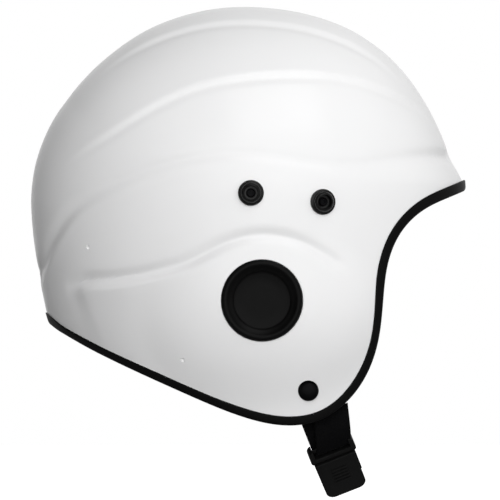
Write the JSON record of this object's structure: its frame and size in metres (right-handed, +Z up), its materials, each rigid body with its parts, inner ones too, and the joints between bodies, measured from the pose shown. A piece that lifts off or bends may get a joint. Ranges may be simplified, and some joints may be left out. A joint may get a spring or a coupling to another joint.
{
  "type": "water helmet",
  "caption": "Open-face water sports helmet with covered ears: hard shell with edge trim, ear plugs, visor studs, foam liner, pads and a webbing chin strap with a side-release buckle.",
  "frame": {"origin": "midway between the two ear ports, on the helmet's middle plane, where the wearer's ear canals are", "axes": "+X forward, +Y to the wearer's left, +Z up through the crown"},
  "size_m": [0.2393, 0.1996, 0.2691],
  "materials": {
    "shell_white": "glossy white moulded ABS",
    "rubber_black": "satin black rubber",
    "plug_rubber": "matt black rubber",
    "stud_black": "satin black nylon",
    "screw_black": "black oxide steel",
    "nut_steel": "stainless steel",
    "spacer_nylon": "black nylon",
    "foam_grey": "closed-cell foam",
    "pad_fabric": "black brushed knit over foam",
    "hook_tape": "black hook tape",
    "webbing_black": "black woven polyester webbing",
    "buckle_black": "satin black acetal"
  },
  "bodies": {
    "helmet": {"outer_shell": "shell_white", "edge_trim": "rubber_black", "visor_stud_right_rear": "stud_black", "visor_stud_right_front": "stud_black", "visor_stud_left_rear": "stud_black", "visor_stud_left_front": "stud_black", "visor_screws": "screw_black", "visor_tee_nuts": "nut_steel", "liner_crown": "foam_grey", "liner_front": "foam_grey", "liner_rear": "foam_grey", "liner_right": "foam_grey", "liner_left": "foam_grey", "brow_pad": "pad_fabric", "nape_pad": "pad_fabric", "crown_pad": "pad_fabric", "hook_patches": "hook_tape", "ear_pad_right": "pad_fabric", "ear_pad_left": "pad_fabric", "strap_screws": "screw_black", "strap_spacers": "spacer_nylon", "strap_washers": "nut_steel", "strap_nuts": "nut_steel"},
    "ear_plug_right": {"ear_plug_right": "plug_rubber"},
    "ear_plug_left": {"ear_plug_left": "plug_rubber"},
    "chin_strap": {"strap_right": "webbing_black", "strap_left": "webbing_black", "buckle_male": "buckle_black", "buckle_latch_arms": "buckle_black"},
    "buckle_socket": {"buckle_female": "buckle_black"}
  },
  "joints": [
    {"name": "ear_plug_right_pull", "type": "slide", "parent": "helmet", "child": "ear_plug_right", "axis": [0, -1, 0], "range_m": [0, 0.015]},
    {"name": "ear_plug_left_pull", "type": "slide", "parent": "helmet", "child": "ear_plug_left", "axis": [0, 1, 0], "range_m": [0, 0.015]},
    {"name": "chin_strap_swing", "type": "hinge", "parent": "helmet", "child": "chin_strap", "pos_m": [0.0248, 0, -0.0484], "axis": [0, -1, 0], "range_deg": [-35, 15]},
    {"name": "buckle_release", "type": "slide", "parent": "chin_strap", "child": "buckle_socket", "axis": [0.2724, 0.6691, -0.6914], "range_m": [0, 0.024], "deforming": ["strap_left", "buckle_latch_arms"]}
  ]
}
